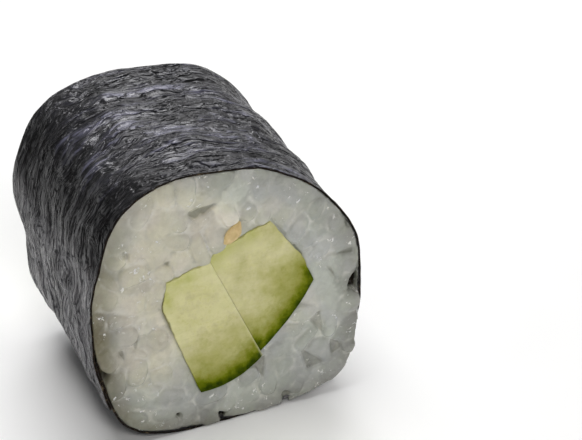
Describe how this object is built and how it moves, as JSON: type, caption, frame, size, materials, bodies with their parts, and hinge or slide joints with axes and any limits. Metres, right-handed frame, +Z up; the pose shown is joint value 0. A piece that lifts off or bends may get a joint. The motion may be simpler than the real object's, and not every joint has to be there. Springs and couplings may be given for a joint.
{
  "type": "cucumber maki roll",
  "caption": "Cut piece of maki roll lying on its side: nori wrapped round sushi rice, with cucumber sticks running through the middle.",
  "frame": {"origin": "middle of the underside, on the surface that the roll lies on", "axes": "+Z up, +Y along the roll's axis from the front cut face to the back one, +X to the right seen from the front"},
  "size_m": [0.0364, 0.0294, 0.0364],
  "materials": {
    "nori": "damp roasted seaweed sheet, dark charcoal with a soft grey sheen, fine wrinkles running round the roll",
    "sushi_rice": "moist, slightly see-through boiled rice, satin with small wet glints",
    "cucumber": "moist cut cucumber, pale yellow-green flesh going over to dark green peel"
  },
  "bodies": {
    "root": {"nori_wrap": "nori", "rice": "sushi_rice", "cucumber_stick_left": "cucumber", "cucumber_stick_right": "cucumber"}
  },
  "joints": []
}
